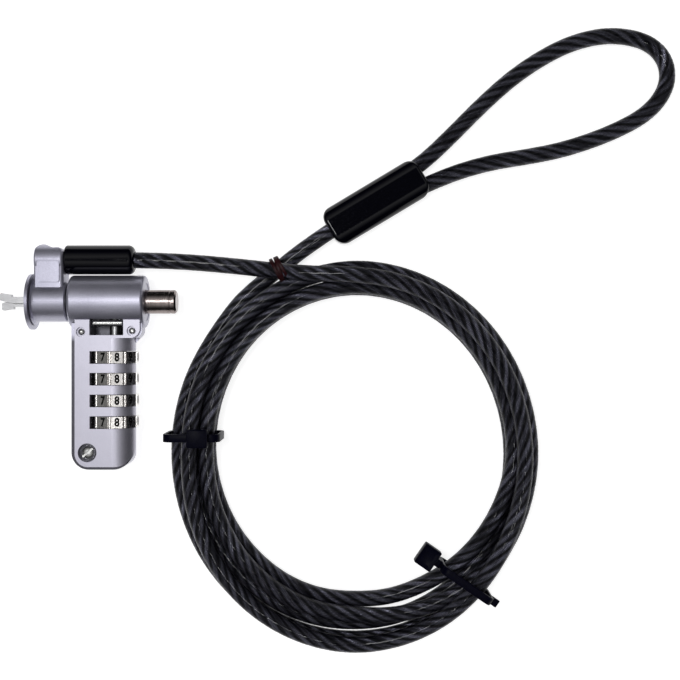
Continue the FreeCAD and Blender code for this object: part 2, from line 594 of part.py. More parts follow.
def make_left_tie():
    x, y, angle, length = LEFT_TIE
    loop, solid = frame_loop(length, TIE_H, TIE_W, TIE_T, TIE_CORNER_R)
    head = box(6.9, 12.7, -2.45, 2.45, COIL_H + 0.9, COIL_H + 3.6)
    head = fillet_where(head, 0.6, lambda m, e: True)
    band = loop.fuse(head).removeSplitter()
    return placed(band, x, y, angle), placed(solid, x, y, angle)


def make_right_tie():
    x, y, angle, length = RIGHT_TIE
    loop, solid = frame_loop(length, TIE_H, TIE_W, TIE_T, TIE_CORNER_R)
    neck = box(-2.6, 0.5, -TIE_W / 2, TIE_W / 2, 8.6, 9.6)
    head = box(-6.8, -1.6, -3.2, 3.0, 7.4, 11.2)
    head = fillet_where(head, 0.6, lambda m, e: True)
    stub = box(length - 0.4, length + 2.6, -TIE_W / 2, TIE_W / 2, 8.6, 9.5)
    band = loop.fuse([neck, head, stub]).removeSplitter()
    return placed(band, x, y, angle), placed(solid, x, y, angle)


def stadium(r, half_width):
    """An upright slab with round ends, as long across as the crossing tie is wide."""
    low, high = CROSS_TIE_Z
    lower = Part.makeCylinder(r, 2 * half_width, V(-half_width, 0, low), V(1, 0, 0))
    upper = Part.makeCylinder(r, 2 * half_width, V(-half_width, 0, high), V(1, 0, 0))
    middle = box(-half_width, half_width, -r, r, low, high)
    return lower.fuse([upper, middle]).removeSplitter()


def make_crossing_tie():
    inside, outside = CROSS_TIE_R
    band = stadium(outside, CROSS_TIE_HALF).cut(stadium(inside, CROSS_TIE_HALF + 1))
    clearance = stadium(outside + 0.1, CROSS_TIE_HALF + 0.1)
    return placed(band, *CROSS_TIE), placed(clearance, *CROSS_TIE)


def sleeve_frame(shape):
    """Moves a shape drawn along X about the origin to the end loop's sleeve."""
    copy = shape.copy()
    copy.rotate(V(0, 0, 0), V(0, 0, 1), SLEEVE_ANGLE)
    copy.translate(SLEEVE_CENTRE)
    return copy


def centred_block(length, width, height, edge_r):
    """A block about the origin whose long edges are rounded."""
    block = box(-length / 2, length / 2, -width / 2, width / 2, -height / 2, height / 2)
    return fillet_where(block, edge_r, lambda m, e: abs(m.x) < 0.01)


def make_loop_ferrule():
    return sleeve_frame(centred_block(*FERRULE, FERRULE_EDGE_R))


def make_loop_sleeve(ferrule):
    half = SLEEVE_LENGTH / 2
    body = centred_block(SLEEVE_LENGTH, SLEEVE_W, SLEEVE_T, 3.6)
    plan = box(-half, half, -SLEEVE_W / 2, SLEEVE_W / 2, -9, 9)
    plan = fillet_where(plan, 3.4, lambda m, e: abs(m.z) < 0.01)
    body = body.common(plan)
    body = fillet_where(body, 1.0, lambda m, e: abs(m.x) > half - 0.05)
    return sleeve_frame(body).cut(ferrule)


def make_cover_rivets():
    front = AXIS_Z + FRONT_R
    rivets = []
    for x, y in RIVETS:
        shank = cyl_z(RIVET_BACK_Z, front - 0.9, RIVET_HOLE_R - 0.02, x, y)
        dome = Part.makeSphere(1.1, V(x, y, front - 1.3))
        head = cyl_z(front - 1.0, front, 0.88, x, y).common(dome)
        rivets.append(shank.fuse(head).removeSplitter())
    return Part.makeCompound(rivets)


# ---- build every piece ----------------------------------------------------------------------
envelope = handle_envelope()
blank = cover_blank(envelope)
save("lock_housing", make_lock_housing(envelope, blank))
save("front_cover", make_front_cover(blank))

save("cover_rivets", make_cover_rivets())

save("nose_tube", make_nose_tube())
flange = cyl_x(FLANGE_X, FLANGE_X + FLANGE_T, FLANGE_R)
save("nose_flange", flange.cut(cyl_x(FLANGE_X - 1, FLANGE_X + 2, 3.2)))
washer = cyl_x(COLLAR_RIGHT + CLEAR, BARREL_LEFT, BARREL_BORE_R)
save("swivel_washer", washer.cut(cyl_x(-10, 0, SHANK_R + 0.03)))
save("claw_pivot_pin", cyl_z(AXIS_Z - 3.8, AXIS_Z + 3.8, PIVOT_R, PIVOT_X, AXIS_Y))
save("nose_retaining_pin", cyl_y(AXIS_Y + 3.3, AXIS_Y + 7.0, PIN_R, x=NOSE_PIN_X))
save("claw_upper", make_claw(1))
save("claw_lower", make_claw(-1))
save("swivel_collar", make_swivel_collar())
save("cable_end_stud", make_cable_end_stud())
save("stud_pin", cyl_z(AXIS_Z - LUG_R + 0.3, AXIS_Z + 2.0, PIN_R, STUD_PIN_X, BOOT_Y))
lead = cord_tube("cable_lead", vectors(LEAD))
save("cable_boot", make_cable_boot().cut(lead))

button_hole = cyl_x(10, 20, BUTTON_R + 0.08)
ring_left = BARREL_RIGHT - END_RING_LENGTH
end_ring = cyl_x(ring_left, BARREL_RIGHT - END_RING_RECESS, BARREL_BORE_R - 0.02)
seal = cyl_x(ring_left, ring_left + SEAL_T, BUTTON_R + 0.75)
save("barrel_end_ring", end_ring.cut(button_hole).cut(seal))
save("button_seal_ring", seal.cut(button_hole))
save("push_button", make_push_button())
save("plunger_core", make_plunger_core())
save("plunger_spring", helix_spring(V(HEAD_RIGHT + 0.05, AXIS_Y, AXIS_Z), V(1, 0, 0),
                                    SHOULDER_X - HEAD_RIGHT - 0.1, 2.3, 0.3, 5))
save("locking_spindle", make_locking_spindle())
save("gate_fins", make_gate_fins())
save("crosshead_pin", cyl_x(CROSS_X[0], CROSS_X[1], CROSS_R, y=CROSS_Y, z=CROSS_Z))
for index, dial_y in enumerate(DIAL_YS, 1):
    save("dial_ring_" + str(index), make_dial_ring(dial_y))
    save("dial_sleeve_" + str(index), make_dial_sleeve(dial_y))
save("detent_spring", make_detent_spring())
save("spindle_spring", helix_spring(V(DIAL_X, SPRING_FLOOR_Y + 0.05, AXIS_Z), V(0, 1, 0),
                                    SPINDLE_FOOT_Y - SPRING_FLOOR_Y - 0.1, 1.5, 0.28, 5))
save("spring_plug", cyl_y(FOOT_Y + 0.7, SPRING_FLOOR_Y, SPRING_BORE_R - 0.02))
save("reset_screw", make_reset_screw())
save("reset_cam", make_reset_cam())

coil = make_coil()
left_tie, left_solid = make_left_tie()
right_tie, right_solid = make_right_tie()
crossing_tie, crossing_solid = make_crossing_tie()
tail = cord_tube("cable_tail", vectors(TAIL))
eye = cord_tube("cable_eye", vectors(EYE))
save("cable_coil", coil.cut(left_tie).cut(right_tie).cut(crossing_solid))
save("cable_lead", lead.cut(coil))
ferrule = make_loop_ferrule()
save("cable_tail", tail.cut(coil).cut(ferrule))
save("cable_eye", eye.cut(ferrule))
save("loop_ferrule", ferrule)
save("loop_sleeve", make_loop_sleeve(ferrule).cut(tail).cut(eye))
save("coil_tie_left", left_tie)
save("coil_tie_right", right_tie)
save("crossing_tie", crossing_tie)
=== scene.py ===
# %% [markdown]
# # A laptop cable lock
# The lock lies on its back on a pale table. Its hard pieces come ready made and already in
# place, so this lesson adds what they lack: a twisted steel cable in smoked plastic, the ties
# that hold its coil, the figures on the dials, and a finish for every surface.

# %% Load the frame
import json
import math

import bmesh
import bpy
import numpy as np
from mathutils import Matrix, Vector


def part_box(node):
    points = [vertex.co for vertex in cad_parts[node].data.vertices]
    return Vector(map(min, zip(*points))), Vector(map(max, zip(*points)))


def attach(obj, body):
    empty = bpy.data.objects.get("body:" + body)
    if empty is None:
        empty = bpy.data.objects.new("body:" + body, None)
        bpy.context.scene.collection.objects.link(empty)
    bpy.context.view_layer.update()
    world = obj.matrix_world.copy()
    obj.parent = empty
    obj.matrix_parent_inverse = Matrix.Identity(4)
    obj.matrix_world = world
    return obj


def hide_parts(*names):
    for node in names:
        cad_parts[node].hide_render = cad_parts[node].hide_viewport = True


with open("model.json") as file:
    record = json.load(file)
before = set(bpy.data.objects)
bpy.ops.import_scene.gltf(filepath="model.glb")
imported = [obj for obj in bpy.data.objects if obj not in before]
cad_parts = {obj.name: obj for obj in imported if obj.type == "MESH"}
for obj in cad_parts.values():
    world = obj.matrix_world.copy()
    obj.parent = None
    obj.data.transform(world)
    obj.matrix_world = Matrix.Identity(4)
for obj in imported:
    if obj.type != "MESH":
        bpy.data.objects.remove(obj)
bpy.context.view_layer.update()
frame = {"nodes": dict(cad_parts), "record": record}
nodes = frame["nodes"]
MM = 0.001

# %% [markdown]
# The camera looks straight down from arm's length, as one looks at a thing on a desk. Close up
# like that, perspective counts: the nose flange and the barrel's end show their sides, and the
# top of the coil looks a little larger than its foot. So the height matters more than the lens,
# which only frames the view.

# %% The camera
CAMERA_PLACE = (0.06935, 0.00445, 0.310)
bpy.ops.object.select_all(action="DESELECT")
bpy.ops.object.camera_add(location=CAMERA_PLACE, rotation=(0, 0, 0))
camera = bpy.context.object
camera.data.lens = 57.8
camera.data.sensor_width = 36.0
camera.data.clip_start = 0.01
bpy.context.scene.camera = camera
print("camera height in mm:", CAMERA_PLACE[2] / MM)

# %% [markdown]
# The cable is one length, from the boot on the lock to the crimp that closes its end loop. It
# leaves the boot, rises gently over its own tail, goes five times round the coil, and runs out
# under itself to the crimp, through it, round the loop and back in. Its route is a smooth curve
# through the air above given points. Steel cable is springy, so the points stand far
# apart and the curve between them is full.

# %% The route outside the coil
CABLE_D = 0.0045
LEAD = [(-0.0010, 0.0266, 0.0078), (0.0130, 0.0266, 0.0078), (0.0275, 0.02605, 0.0078),
        (0.0410, 0.0248, 0.0081), (0.0525, 0.02345, 0.0094), (0.0615, 0.0226, 0.0106)]
TAIL = [(0.0396, 0.0134, 0.0029), (0.0452, 0.01875, 0.0030), (0.0513, 0.0236, 0.0031),
        (0.0572, 0.0285, 0.0033), (0.0642, 0.0334, 0.0036), (0.07088, 0.03775, 0.00375)]
IN_CRIMP = [(0.0765, 0.0439, 0.00375), (0.0816, 0.0470, 0.00375)]
LOOP = [(0.08678, 0.05011, 0.00375), (0.0936, 0.0550, 0.0036), (0.1012, 0.0624, 0.0029),
        (0.1092, 0.0706, 0.0023), (0.1186, 0.0790, 0.0023), (0.1286, 0.0854, 0.0023),
        (0.1366, 0.0888, 0.0023), (0.1450, 0.0904, 0.0023), (0.1532, 0.0894, 0.0023),
        (0.1584, 0.0867, 0.0023), (0.1614, 0.0823, 0.0023), (0.1617, 0.0770, 0.0023),
        (0.1593, 0.0719, 0.0023), (0.1549, 0.0676, 0.0023), (0.1486, 0.0641, 0.0023),
        (0.1410, 0.0609, 0.0023), (0.1316, 0.0579, 0.0023), (0.1224, 0.0561, 0.0024),
        (0.1124, 0.0545, 0.0028), (0.1034, 0.0520, 0.0034), (0.0958, 0.0490, 0.0037),
        (0.08925, 0.0460, 0.00375)]
BACK_IN_CRIMP = [(0.0824, 0.0419, 0.00375), (0.07555, 0.03775, 0.00375)]
print("points outside the coil:", len(LEAD) + len(TAIL) + len(LOOP))

# %% [markdown]
# The coil is wound by hand, so its five turns don't stack in a perfect spiral. Between the two
# ties they lie two by two with one on top, at the foot they fan out flat and leave a dark gap,
# and they close up again at the left tie. Each turn therefore gets its own place in the bundle
# at a few stations round the ring: how far it lies inside the outermost turn, and how high. A
# loop reads those places at every fifteen degrees.

# %% The coil's turns
COIL_X, COIL_Y = 73.4, -27.65                 # millimetres, as are the numbers below
COIL_RX, COIL_RY = 49.0, 52.3                 # middle of the outermost turn
TIE_BAND = 0.8                                # the bundle lies on its ties
STEP = 15
STATIONS = (0, 45, 90, 120, 150, 180, 225, 270, 315)
TURNS = (
    ((2.6, 10.7), (2.5, 10.7), (2.4, 10.7), (2.4, 10.9), (1.0, 9.2), (0.0, 6.8),
     (1.5, 8.2), (3.6, 9.4), (1.9, 8.2)),
    ((0.4, 6.8), (0.3, 6.8), (0.3, 6.75), (1.2, 6.75), (4.9, 6.75), (8.4, 5.8),
     (8.2, 6.4), (7.9, 7.1), (6.3, 7.0)),
    ((5.2, 6.8), (4.9, 6.8), (4.8, 6.75), (7.8, 5.8), (10.6, 3.2), (11.8, 2.25),
     (10.3, 2.25), (8.0, 2.25), (6.3, 2.25)),
    ((5.4, 2.25), (5.0, 2.25), (4.9, 2.25), (5.0, 2.25), (5.1, 2.25), (5.4, 2.25),
     (4.6, 3.2), (3.7, 4.8), (1.9, 3.6)),
    ((0.3, 2.25), (0.2, 2.25), (0.2, 2.25), (0.2, 2.25), (0.4, 2.25), (0.5, 2.25),
     (0.1, 2.25), (-0.2, 2.25), (-0.9, 2.25)),
)
LAST_ANGLE = 360 * (len(TURNS) - 1) + 300
swell = 1 / math.cos(math.radians(STEP / 2))  # the curve runs inside its points by this much
angles = [360 * turn + station for turn in range(len(TURNS)) for station in STATIONS]
inwards = [place[0] for turn in TURNS for place in turn]
heights = [place[1] for turn in TURNS for place in turn]
coil = []
for angle in range(0, LAST_ANGLE + 1, STEP):
    inward = np.interp(angle, angles, inwards)
    height = np.interp(angle, angles, heights) + TIE_BAND
    a = math.radians(angle)
    x = COIL_X + (COIL_RX - inward) * swell * math.sin(a)
    y = COIL_Y + (COIL_RY - inward) * swell * math.cos(a)
    coil.append((x * MM, y * MM, height * MM))
route = LEAD + coil + TAIL + IN_CRIMP + LOOP + BACK_IN_CRIMP
print("points in the coil:", len(coil))

# %% The route as one curve
curve = bpy.data.curves.new("cable_route", "CURVE")
curve.dimensions = "3D"
spline = curve.splines.new("NURBS")
spline.points.add(len(route) - 1)
for point, place in zip(spline.points, route):
    point.co = (*place, 1.0)
spline.order_u = 3
spline.use_endpoint_u = True
spline.resolution_u = 12
route_object = bpy.data.objects.new("cable_route", curve)
route_mesh = bpy.data.meshes.new_from_object(route_object)
line = np.array([v.co for v in route_mesh.vertices], float)
along = np.concatenate([[0], np.cumsum(np.linalg.norm(np.diff(line, axis=0), axis=1))])
CABLE_LENGTH = along[-1]
print("cable length in metres:", round(CABLE_LENGTH, 3))

# %% [markdown]
# Under the smoked cover lie six strands, twisted right-handed like a screw. A thin cover sinks
# a little between them, and that is what breaks up its shine. So the tube is built as a mesh
# whose rows turn with the strands: every ring of points is turned a little further than the one
# before, and the points between two strands lie slightly deeper. The mesh also keeps a map of
# itself, across the strands one way and along the cable the other, for the finish to follow.

# %% The cable's mesh
STRANDS = 6
COLUMNS = 5                                   # points across one strand
LAY = 0.0270                                  # length in which a strand goes once round
RING = 0.0013                                 # from one ring of points to the next
SINK = 0.00003                                # depth of the hollow between two strands


def tube_frames(points):
    """Directions across a path that don't twist as it turns."""
    ahead = np.gradient(points, axis=0)
    ahead /= np.linalg.norm(ahead, axis=1)[:, None]
    side = np.zeros_like(points)
    side[0] = np.cross(ahead[0], (0, 0, 1))
    side[0] /= np.linalg.norm(side[0])
    for i in range(1, len(points)):
        carried = side[i - 1] - ahead[i] * np.dot(side[i - 1], ahead[i])
        side[i] = carried / np.linalg.norm(carried)
    return side, np.cross(ahead, side)


def stranded_tube(name, points, radius):
    """A closed tube along points whose surface follows the strands inside it."""
    distance = np.concatenate([[0], np.cumsum(np.linalg.norm(np.diff(points, axis=0), axis=1))])
    side, up = tube_frames(points)
    count = STRANDS * COLUMNS
    across = np.arange(count) / count
    valley = (1 - np.abs(np.sin(np.pi * STRANDS * across))) ** 2
    reach = radius - SINK * valley
    turn = 2 * np.pi * (across[None, :] + distance[:, None] / LAY)
    rings = (points[:, None, :]
             + reach[None, :, None] * (np.cos(turn)[..., None] * side[:, None, :]
                                       + np.sin(turn)[..., None] * up[:, None, :]))
    vertices = rings.reshape(-1, 3)
    faces = []
    uvs = []
    for i in range(len(points) - 1):
        v0, v1 = distance[i], distance[i + 1]
        for j in range(count):
            k = (j + 1) % count
            faces.append((i * count + j, i * count + k, (i + 1) * count + k, (i + 1) * count + j))
            u0, u1 = j / count, (j + 1) / count
            uvs += [(u0, v0), (u1, v0), (u1, v1), (u0, v1)]
    last = (len(points) - 1) * count
    faces.append(tuple(range(count))[::-1])
    faces.append(tuple(last + j for j in range(count)))
    uvs += [(0.0, 0.0)] * (2 * count)
    mesh = bpy.data.meshes.new(name)
    mesh.from_pydata(vertices.tolist(), [], faces)
    layer = mesh.uv_layers.new(name="strands")
    layer.data.foreach_set("uv", np.array(uvs, np.float32).ravel())
    mesh.validate()
    mesh.shade_smooth()
    piece = bpy.data.objects.new(name, mesh)
    bpy.context.scene.collection.objects.link(piece)
    return piece


rings = max(2, round(CABLE_LENGTH / RING))
at = np.linspace(0, CABLE_LENGTH, rings)
centreline = np.stack([np.interp(at, along, line[:, k]) for k in range(3)], axis=1)
cable = stranded_tube("cable", centreline, CABLE_D / 2)
check = bmesh.new()
check.from_mesh(cable.data)
if check.calc_volume(signed=True) < 0:
    cable.data.flip_normals()
print("cable faces:", len(cable.data.polygons), "volume in cm3:",
      round(abs(check.calc_volume()) * 1e6, 2))
check.free()

# %% [markdown]
# The next pieces are modelled as one would by hand, with a primitive that is added at its size
# and shaped in edit mode. Four helpers do what the mouse does: start a block, pick the faces or
# edges that pass a test of place and direction, apply a modifier, and put the finished piece in
# its place with its origin left at zero.

# %% Helpers for modelling
def focus(piece):
    """Makes one piece the only selected and the active one."""
    bpy.ops.object.select_all(action="DESELECT")
    piece.select_set(True)
    bpy.context.view_layer.objects.active = piece


def start_block(name, low, high):
    """A block between two corners, in metres, with its place in its mesh."""
    middle = [(a + b) / 2 for a, b in zip(low, high)]
    bpy.ops.object.select_all(action="DESELECT")
    bpy.ops.mesh.primitive_cube_add(size=1, location=middle,
                                    scale=[b - a for a, b in zip(low, high)])
    piece = bpy.context.object
    piece.name = name
    piece.data.name = name
    bpy.ops.object.transform_apply(location=True, rotation=True, scale=True)
    return piece


def pick_faces(piece, test):
    """Selects the faces whose middle and normal pass the test, in edit mode."""
    bpy.ops.mesh.select_mode(type="FACE")
    mesh = bmesh.from_edit_mesh(piece.data)
    for face in mesh.faces:
        face.select_set(bool(test(face.calc_center_median(), face.normal)))
    bmesh.update_edit_mesh(piece.data)


def pick_edges(piece, test):
    """Selects the edges whose middle and direction pass the test, in edit mode."""
    bpy.ops.mesh.select_mode(type="EDGE")
    mesh = bmesh.from_edit_mesh(piece.data)
    for edge in mesh.edges:
        a, b = (v.co for v in edge.verts)
        edge.select_set(bool(test((a + b) / 2, (b - a).normalized())))
    bmesh.update_edit_mesh(piece.data)


def apply_bevel(piece, width, segments):
    """Rounds the sharp edges of a piece and keeps the result."""
    focus(piece)
    bevel = piece.modifiers.new("round", "BEVEL")
    bevel.width = width
    bevel.segments = segments
    bevel.limit_method = "ANGLE"
    bevel.angle_limit = math.radians(40)
    bevel.harden_normals = False
    bpy.ops.object.modifier_apply(modifier=bevel.name)
    bpy.ops.object.shade_smooth_by_angle(angle=math.radians(35))


def put(piece, x, y, angle):
    """Turns a piece about Z and moves it, and leaves its object at the origin."""
    focus(piece)
    turned = Matrix.Rotation(math.radians(angle), 4, "Z")
    piece.matrix_world = Matrix.Translation((x, y, 0)) @ turned
    bpy.ops.object.transform_apply(location=True, rotation=True, scale=True)


def join(name, pieces):
    """Joins pieces that never part into one."""
    focus(pieces[0])
    for piece in pieces[1:]:
        piece.select_set(True)
    bpy.ops.object.join()
    whole = bpy.context.object
    whole.name = name
    whole.data.name = name
    return whole


print("helpers ready")

# %% [markdown]
# A nylon tie is a flat band with a row of fine teeth, pulled through a small square head. Here
# the band goes round the coil's whole bundle. It starts as a block as large as the bundle. Its
# four long edges are bevelled round, both open sides are inset by the band's thickness, and
# what is inside the insets is taken out and bridged, which leaves a hollow band.

# %% The band of a tie
BAND = 0.0008                                 # how thick the band is
BAND_W = 0.0022
BUNDLE_H = 0.0148                             # outer height of the band round the bundle


def tie_band(name, length, height=BUNDLE_H, width=BAND_W, corner=0.0024):
    band = start_block(name, (0, -width / 2, 0), (length, width / 2, height))
    focus(band)
    bpy.ops.object.mode_set(mode="EDIT")
    pick_edges(band, lambda place, way: abs(way.y) > 0.9)
    bpy.ops.mesh.bevel(offset=corner, segments=6, affect="EDGES")
    pick_faces(band, lambda place, normal: abs(normal.y) > 0.9)
    bpy.ops.mesh.inset(thickness=BAND, use_individual=True)
    inside = length / 2
    pick_faces(band, lambda place, normal: abs(normal.y) > 0.9
               and abs(place.x - inside) < BAND and abs(place.z - height / 2) < BAND)
    bpy.ops.mesh.bridge_edge_loops()
    bpy.ops.object.mode_set(mode="OBJECT")
    return band


# %% [markdown]
# The head is a block with softened corners and a square mouth that the band goes into. On the
# left tie it sits on top of the bundle. On the right one it stands inside the ring on a short
# neck, and the cut end of its band sticks out on the other side.

# %% The two ties
LEFT_TIE = (0.0211, -0.0222, 0)               # place and angle of each tie's left end
RIGHT_TIE = (0.0970, -0.0575, -34.7)


def tie_head(name, low, high, mouth):
    """A tie's head, with its mouth in the face whose normal is given."""
    head = start_block(name, low, high)
    focus(head)
    bpy.ops.object.mode_set(mode="EDIT")
    pick_faces(head, lambda place, normal: normal.dot(mouth) > 0.9)
    bpy.ops.mesh.inset(thickness=0.0010)
    bpy.ops.transform.translate(value=Vector(mouth) * -0.0007)
    bpy.ops.object.mode_set(mode="OBJECT")
    apply_bevel(head, 0.00035, 3)
    return head


left_band = tie_band("left_band", 0.0156)
apply_bevel(left_band, 0.00015, 2)
left_head = tie_head("left_head", (0.0069, -0.00245, 0.0144), (0.0127, 0.00245, 0.0172), (1, 0, 0))
left_pawl = start_block("left_pawl", (0.0078, -0.0012, 0.0165), (0.0115, 0.0012, 0.01718))
apply_bevel(left_pawl, 0.0002, 2)
tie_left = join("coil_tie_strap_left", [left_band, left_head, left_pawl])
put(tie_left, *LEFT_TIE)

right_band = tie_band("right_band", 0.0166)
apply_bevel(right_band, 0.00015, 2)
right_neck = start_block("right_neck", (-0.0026, -0.0011, 0.0086), (0.0005, 0.0011, 0.0096))
apply_bevel(right_neck, 0.0002, 2)
right_head = tie_head("right_head", (-0.0068, -0.0032, 0.0074), (-0.0016, 0.0030, 0.0112),
                      (0, 0, 1))
right_stub = start_block("right_stub", (0.0162, -0.0011, 0.0086), (0.0192, 0.0011, 0.0095))
apply_bevel(right_stub, 0.0002, 2)
tie_right = join("coil_tie_strap_right", [right_band, right_neck, right_head, right_stub])
put(tie_right, *RIGHT_TIE)
print("tie faces:", len(tie_left.data.polygons), len(tie_right.data.polygons))

# %% [markdown]
# Where the cable passes over its own tail, a thin dark red band holds the two together. It goes
# round three times, each time at another slant. Each round is a hollow band like the one above,
# but narrow, nearly round, and tall enough to take both.

# %% The crossing tie
CROSSING = (0.0526, 0.0240, 24.0)             # its middle and angle
CROSS_SLANTS = (4.0, -3.0, 6.0)
CROSS_STEP = 0.00092                          # from one round to the next
CROSS_LOW = (-0.00046, -0.0036, 0.0)          # corners of the block that a round starts as
CROSS_HIGH = (0.00046, 0.0036, 0.01255)
crossing_parts = []
for index, slant in enumerate(CROSS_SLANTS):
    middle = (index - 1.0) * CROSS_STEP
    band = start_block("crossing_%d" % index, CROSS_LOW, CROSS_HIGH)
    focus(band)
    bpy.ops.object.mode_set(mode="EDIT")
    pick_edges(band, lambda place, way: abs(way.x) > 0.9)
    bpy.ops.mesh.bevel(offset=0.0032, segments=8, affect="EDGES")
    pick_faces(band, lambda place, normal: abs(normal.x) > 0.9)
    bpy.ops.mesh.inset(thickness=0.00042, use_individual=True)
    pick_faces(band, lambda place, normal: abs(normal.x) > 0.9
               and abs(place.y) < 0.0004 and abs(place.z - CROSS_HIGH[2] / 2) < 0.0006)
    bpy.ops.mesh.bridge_edge_loops()
    bpy.ops.object.mode_set(mode="OBJECT")
    apply_bevel(band, 0.00012, 2)
    put(band, middle, 0, slant)
    crossing_parts.append(band)
crossing = join("crossing_strap", crossing_parts)
put(crossing, *CROSSING)
print("crossing tie faces:", len(crossing.data.polygons))

# %% [markdown]
# Every dial has ten flat faces with the figures 0 to 9, which rise towards the right, so that
# 7, 8 and 9 show in the windows. A figure is a text, made a mesh with a trace of thickness,
# laid on its face and turned about the dial's axis. The ten figures of a dial are one piece.

# %% The figures on the dials
DIAL_AXIS_X, DIAL_AXIS_Z = 0.00715, 0.0078
FACE_RADIUS = 0.00667 * math.cos(math.radians(18))
FIRST_FACE = 15.6
FIRST_FIGURE = 8
FIGURE_SIZE = 0.0031


def figure(text, angle, y):
    """One figure, upright on the dial face that is turned by angle towards +X."""
    bpy.ops.object.select_all(action="DESELECT")
    bpy.ops.object.text_add(location=(0, 0, 0))
    made = bpy.context.object
    made.data.body = text
    made.data.size = FIGURE_SIZE
    made.data.align_x = "CENTER"
    made.data.align_y = "CENTER"
    made.data.extrude = 0.00002
    made.data.offset = 0.00013
    made.data.resolution_u = 4
    bpy.ops.object.convert(target="MESH")
    made.matrix_world = (Matrix.Translation((DIAL_AXIS_X, y, DIAL_AXIS_Z))
                         @ Matrix.Rotation(math.radians(angle), 4, "Y")
                         @ Matrix.Translation((0, 0, FACE_RADIUS + 0.00001))
                         @ Matrix.Diagonal((0.82, 1.0, 1.0, 1.0)))
    bpy.ops.object.transform_apply(location=True, rotation=True, scale=True)
    return made


figure_pieces = []
for dial in range(1, 5):
    low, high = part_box("dial_ring_%d" % dial)
    figures = [figure(str((FIRST_FIGURE + face) % 10), FIRST_FACE + 36 * face, (low.y + high.y) / 2)
               for face in range(10)]
    figure_pieces.append(join("dial_figures_%d" % dial, figures))
print("dials with figures:", len(figure_pieces))

# %% [markdown]
# Finishes are written as sums on the values that a surface gives. The small class below stands
# for one such value: adding, multiplying or raising it puts the matching maths into the
# material, and its method `node` adds anything else, such as a noise or a ramp.

# %% A class for shader sums
class Value:
    """A value in a material. Python's operators on it add Math nodes."""

    def __init__(self, tree, socket):
        self.tree = tree
        self.socket = socket

    def node(self, kind, inputs, output=0, **settings):
        """Adds a node: first its settings, then the values or links of its sockets."""
        made = self.tree.nodes.new(kind)
        for name, setting in settings.items():
            setattr(made, name, setting)
        for key, value in inputs.items():
            if isinstance(value, Value):
                self.tree.links.new(value.socket, made.inputs[key])
            else:
                made.inputs[key].default_value = value
        return Value(self.tree, made.outputs[output])

    def maths(self, operation, first, second=0.0):
        return self.node("ShaderNodeMath", {0: first, 1: second}, operation=operation)

    def __add__(self, other):
        return self.maths("ADD", self, other)

    __radd__ = __add__

    def __sub__(self, other):
        return self.maths("SUBTRACT", self, other)

    def __rsub__(self, other):
        return self.maths("SUBTRACT", other, self)

    def __mul__(self, other):
        return self.maths("MULTIPLY", self, other)

    __rmul__ = __mul__

    def __pow__(self, other):
        return self.maths("POWER", self, other)

    def __abs__(self):
        return self.maths("ABSOLUTE", self)

    def wave(self):
        """From -1 to 1 as the value goes up by two pi."""
        return self.maths("SINE", self)

    def ramp(self, low, high):
        """From 0 to 1 as the value goes from low to high, and no further."""
        return self.node("ShaderNodeMapRange", {"Value": self, "From Min": low, "From Max": high})

    def mix(self, first, second):
        """A colour between two, with this value as the share of the second."""
        return self.node("ShaderNodeMix", {0: self, 6: first, 7: second}, output=2,
                         data_type="RGBA")


def new_finish(name, **constants):
    """A material and its shader, whose constants are set on the shader's own sockets."""
    material = bpy.data.materials.new(name)
    material.use_nodes = True
    tree = material.node_tree
    shader = tree.nodes["Principled BSDF"]
    for key, value in constants.items():
        shader.inputs[key.replace("_", " ")].default_value = value
    return material, tree, shader


def place_on(tree):
    """Where a point lies on the object, in metres."""
    return Value(tree, tree.nodes.new("ShaderNodeTexCoord").outputs["Object"])


def noise(place, scale, detail, roughness):
    """A cloudy value from 0 to 1; a larger scale has smaller clouds."""
    return place.node("ShaderNodeTexNoise", {"Vector": place, "Scale": scale, "Detail": detail,
                                             "Roughness": roughness})


def feed(tree, shader, **values):
    """Links values that change over the surface to the shader's sockets."""
    for key, value in values.items():
        tree.links.new(value.socket, shader.inputs[key.replace("_", " ")])


def bump(height, distance):
    """A normal that follows a height, which is so many metres deep from 0 to 1."""
    return height.node("ShaderNodeBump", {"Height": height, "Distance": distance})


print("shader sums ready")

# %% [markdown]
# The casting is sprayed with a silver paint that leans to lilac. Fine aluminium flakes make it
# sparkle a little, and its skin is slightly uneven, as sprayed paint is. A fast noise gives the
# flakes their light and dark, a slower one the unevenness, and a wide one the faint clouds and
# rubbed places. The front cover has the same paint on smoother metal, so it is brighter. The
# inside of the notch and the rim round the cover get painted shade: a near black is mixed into
# their colour. Products of ramps along the axes say where those places are.

# %% Paint
PAINTED_SHADE = (0.020, 0.019, 0.026)                  # painted shade, mixed into the notch and the rim round the cover
NOTCH_X, NOTCH_Y = (0.00125, 0.01045), (0.00575, 0.01025)


def between(value, limits, soft=0.0001):
    """From 0 outside two limits to 1 between them."""
    low, high = limits
    return value.ramp(low - soft, low) * (1 - value.ramp(high, high + soft))


